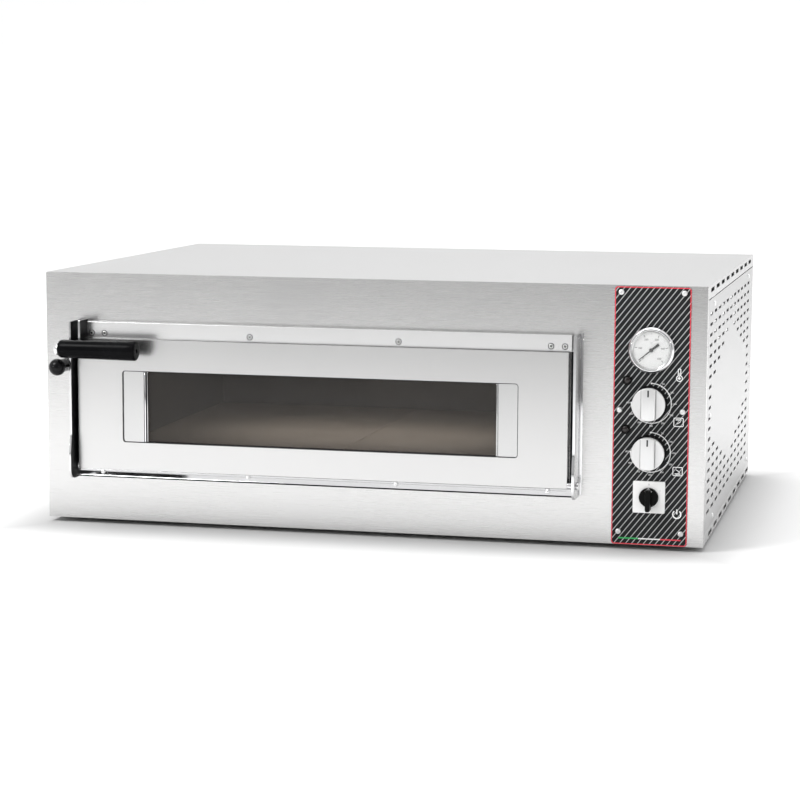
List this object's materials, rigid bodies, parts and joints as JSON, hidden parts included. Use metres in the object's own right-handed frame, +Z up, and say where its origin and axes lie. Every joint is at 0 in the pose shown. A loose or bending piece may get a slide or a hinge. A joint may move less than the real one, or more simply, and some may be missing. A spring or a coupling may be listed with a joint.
{
  "type": "countertop pizza oven",
  "caption": "Low wide stainless electric deck oven with a drop-down window door, left grip, vent pull and a right-hand control column with thermometer, heat knobs and switch.",
  "frame": {"origin": "middle of the overall box in X and Y, on the plane of the feet undersides", "axes": "+X to the right seen from the front, +Y towards the back, +Z up; the door faces -Y"},
  "size_m": [1.1, 0.8884, 0.421],
  "materials": {
    "stainless_brushed": "brushed stainless sheet, fine horizontal grain, satin",
    "stainless_polished": "mirror-polished stainless strip and turned fittings",
    "zinc_plate": "zinc-coated steel sheet, matte grey",
    "aluminised_liner": "aluminised steel, heat-stained, matte",
    "refractory_clay": "fired refractory clay slab, dry and slightly pitted",
    "mineral_wool": "compressed mineral wool, dull",
    "element_sheath": "oxidised alloy heater sheath, dark and matte",
    "foot_rubber": "moulded black rubber",
    "control_overlay": "charcoal overlay with fine weave, thin pale diagonal lines and a red edge line",
    "black_bakelite": "black phenolic moulding, glossy",
    "white_plastic": "white moulded plastic",
    "knob_cap": "brushed silver cap",
    "needle_black": "black lacquered pointer",
    "tinted_glass": "tempered door glass seen against a dark chamber",
    "clear_glass": "thin clear instrument glass",
    "lamp_lens": "dark red unlit lamp lens",
    "terminal_plastic": "pale thermoset block",
    "gland_nylon": "black nylon"
  },
  "bodies": {
    "oven": {"base_tray": "stainless_brushed", "front_panel": "stainless_brushed", "top_cover": "stainless_brushed", "right_side_panel": "stainless_brushed", "left_side_panel": "stainless_brushed", "rear_panel": "stainless_brushed", "thermometer_case": "stainless_polished", "hinge_cheek_left": "stainless_polished", "hinge_cheek_right": "stainless_polished", "thermostat_probe_top": "stainless_polished", "thermostat_probe_bottom": "stainless_polished", "flue_duct": "zinc_plate", "flue_outlet": "zinc_plate", "vent_rod_guide": "zinc_plate", "chamber_support_front": "zinc_plate", "chamber_support_rear": "zinc_plate", "control_partition": "zinc_plate", "thermostat_body_top": "zinc_plate", "thermostat_body_bottom": "zinc_plate", "chamber_liner": "aluminised_liner", "stone_support_rail": "aluminised_liner", "stone_left": "refractory_clay", "stone_right": "refractory_clay", "insulation_jacket": "mineral_wool", "heating_element_top": "element_sheath", "heating_element_bottom": "element_sheath", "foot_front_left": "foot_rubber", "foot_front_right": "foot_rubber", "foot_rear_left": "foot_rubber", "foot_rear_right": "foot_rubber", "control_panel": "control_overlay", "thermometer_dial": "white_plastic", "switch_plate": "white_plastic", "thermometer_glass": "clear_glass", "pilot_lamp_top": "lamp_lens", "pilot_lamp_bottom": "lamp_lens", "terminal_block": "terminal_plastic", "cable_gland": "gland_nylon", "switch_body": "gland_nylon"},
    "door": {"door_skin": "stainless_brushed", "door_inner_panel": "stainless_brushed", "door_top_strip": "stainless_brushed", "door_bottom_lip": "stainless_polished", "window_glass": "tinted_glass", "glass_retainer_left": "stainless_polished", "glass_retainer_right": "stainless_polished", "door_pivot_left": "stainless_polished", "door_pivot_right": "stainless_polished", "handle_bracket": "stainless_polished", "handle_rod": "stainless_polished", "handle_grip": "black_bakelite"},
    "thermometer_pointer": {"thermometer_needle": "needle_black"},
    "top_heat_control": {"top_heat_knob": "black_bakelite", "top_heat_knob_face": "knob_cap"},
    "bottom_heat_control": {"bottom_heat_knob": "black_bakelite", "bottom_heat_knob_face": "knob_cap"},
    "main_switch_control": {"main_switch_knob": "black_bakelite"},
    "vent_pull": {"vent_knob": "black_bakelite", "vent_rod": "stainless_polished", "damper_plate": "zinc_plate"}
  },
  "joints": [
    {"name": "door_hinge", "type": "hinge", "parent": "oven", "child": "door", "pos_m": [0, -0.38775, 0.101], "axis": [1, 0, 0], "range_deg": [0, 90]},
    {"name": "thermometer_pointer_turn", "type": "hinge", "parent": "oven", "child": "thermometer_pointer", "pos_m": [0.4633, -0.37355, 0.3197], "axis": [0, 1, 0], "range_deg": [0, 270]},
    {"name": "top_heat_turn", "type": "hinge", "parent": "oven", "child": "top_heat_control", "pos_m": [0.4625, -0.37975, 0.2357], "axis": [0, 1, 0], "range_deg": [0, 270]},
    {"name": "bottom_heat_turn", "type": "hinge", "parent": "oven", "child": "bottom_heat_control", "pos_m": [0.4625, -0.37975, 0.1576], "axis": [0, 1, 0], "range_deg": [0, 270]},
    {"name": "main_switch_turn", "type": "hinge", "parent": "oven", "child": "main_switch_control", "pos_m": [0.4636, -0.37975, 0.086], "axis": [0, 1, 0], "range_deg": [0, 60]},
    {"name": "vent_slide", "type": "slide", "parent": "oven", "child": "vent_pull", "axis": [0, 1, 0], "range_m": [0, 0.035]}
  ]
}
